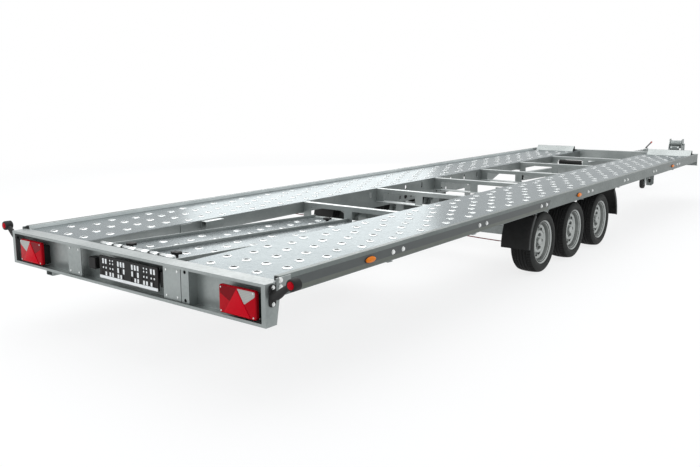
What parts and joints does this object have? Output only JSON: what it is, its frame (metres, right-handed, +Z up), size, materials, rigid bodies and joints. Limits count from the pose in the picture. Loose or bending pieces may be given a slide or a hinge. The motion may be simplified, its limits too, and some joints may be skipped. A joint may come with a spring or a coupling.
{
  "type": "car carrier trailer",
  "caption": "Long low flatbed car carrier trailer with pressed anti-slip tracks, an open centre well, small wheels under the deck and a ball coupling at the nose.",
  "frame": {"origin": "middle of the bounding box at ground level", "axes": "+X forward to the coupling, +Y to the left, +Z up"},
  "size_m": [10.398, 2.6458, 0.847],
  "materials": {
    "galvanised_steel": "hot-dip galvanised, soft spangle",
    "deck_steel": "bright galvanised pressed sheet",
    "wheel_steel": "silver wheel paint",
    "tyre_rubber": "matte rubber",
    "black_plastic": "moulded, fine grain",
    "black_rubber": "moulded rubber",
    "red_lens": "clear red acrylic lens",
    "amber_lens": "clear amber acrylic lens",
    "cast_coupling": "zinc plated casting",
    "black_paint": "black paint",
    "red_cable": "dark red sheath"
  },
  "bodies": {
    "chassis": {"rail_left": "galvanised_steel", "rail_right": "galvanised_steel", "rear_frame": "galvanised_steel", "front_beam": "galvanised_steel", "cross_members": "galvanised_steel", "girders": "galvanised_steel", "axle_tubes": "galvanised_steel", "swing_arms": "galvanised_steel", "drawbar": "galvanised_steel", "rod_hangers": "galvanised_steel", "brake_rod": "galvanised_steel", "hanger_plates": "galvanised_steel", "jack_clamp": "galvanised_steel", "jack_tube": "galvanised_steel", "winch_frame": "galvanised_steel", "well_edges": "galvanised_steel", "brake_equaliser": "galvanised_steel", "ramp_latches": "galvanised_steel", "corner_plates": "galvanised_steel", "track_left": "deck_steel", "track_right": "deck_steel", "ramps": "deck_steel", "wheel_stops": "deck_steel", "mudguards": "black_plastic", "tail_housings": "black_plastic", "plate_holder": "black_plastic", "plate_lamps": "black_plastic", "ramp_knobs": "black_plastic", "cross_tube": "black_plastic", "marker_arms": "black_rubber", "coupling_bellows": "black_rubber", "tail_lenses": "red_lens", "tail_reflectors": "red_lens", "marker_lenses": "red_lens", "side_lamps": "amber_lens", "coupling_housing": "cast_coupling", "coupling_head": "cast_coupling", "brake_lever": "black_paint", "brake_cables": "red_cable"},
    "jack_leg": {"jack_leg": "galvanised_steel"},
    "jack_fork": {"jack_fork": "galvanised_steel"},
    "jack_wheel": {"jack_wheel": "black_rubber"},
    "winch_drum": {"winch_drum": "galvanised_steel"},
    "wheel_left_1": {"tyre_left_1": "tyre_rubber", "rim_left_1": "wheel_steel"},
    "wheel_left_2": {"tyre_left_2": "tyre_rubber", "rim_left_2": "wheel_steel"},
    "wheel_left_3": {"tyre_left_3": "tyre_rubber", "rim_left_3": "wheel_steel"},
    "wheel_right_1": {"tyre_right_1": "tyre_rubber", "rim_right_1": "wheel_steel"},
    "wheel_right_2": {"tyre_right_2": "tyre_rubber", "rim_right_2": "wheel_steel"},
    "wheel_right_3": {"tyre_right_3": "tyre_rubber", "rim_right_3": "wheel_steel"}
  },
  "joints": [
    {"name": "wheel_left_1_spin", "type": "hinge", "parent": "chassis", "child": "wheel_left_1", "pos_m": [-1.746, 0.9885, 0.26225], "axis": [0, 1, 0], "continuous": true},
    {"name": "wheel_left_2_spin", "type": "hinge", "parent": "chassis", "child": "wheel_left_2", "pos_m": [-1.0495, 0.9885, 0.26225], "axis": [0, 1, 0], "continuous": true},
    {"name": "wheel_left_3_spin", "type": "hinge", "parent": "chassis", "child": "wheel_left_3", "pos_m": [-0.353, 0.9885, 0.26225], "axis": [0, 1, 0], "continuous": true},
    {"name": "wheel_right_1_spin", "type": "hinge", "parent": "chassis", "child": "wheel_right_1", "pos_m": [-1.746, -0.9885, 0.26225], "axis": [0, 1, 0], "continuous": true},
    {"name": "wheel_right_2_spin", "type": "hinge", "parent": "chassis", "child": "wheel_right_2", "pos_m": [-1.0495, -0.9885, 0.26225], "axis": [0, 1, 0], "continuous": true},
    {"name": "wheel_right_3_spin", "type": "hinge", "parent": "chassis", "child": "wheel_right_3", "pos_m": [-0.353, -0.9885, 0.26225], "axis": [0, 1, 0], "continuous": true},
    {"name": "jack_lift", "type": "slide", "parent": "chassis", "child": "jack_leg", "axis": [0, 0, 1], "range_m": [0, 0.145]},
    {"name": "jack_swivel", "type": "hinge", "parent": "jack_leg", "child": "jack_fork", "pos_m": [4.399, -0.152, 0.2], "axis": [0, 0, 1], "continuous": true},
    {"name": "jack_wheel_spin", "type": "hinge", "parent": "jack_fork", "child": "jack_wheel", "pos_m": [4.357, -0.152, 0.09], "axis": [0, 1, 0], "continuous": true},
    {"name": "winch_turn", "type": "hinge", "parent": "chassis", "child": "winch_drum", "pos_m": [3.334, -0.85, 0.775], "axis": [0, 1, 0], "continuous": true}
  ]
}
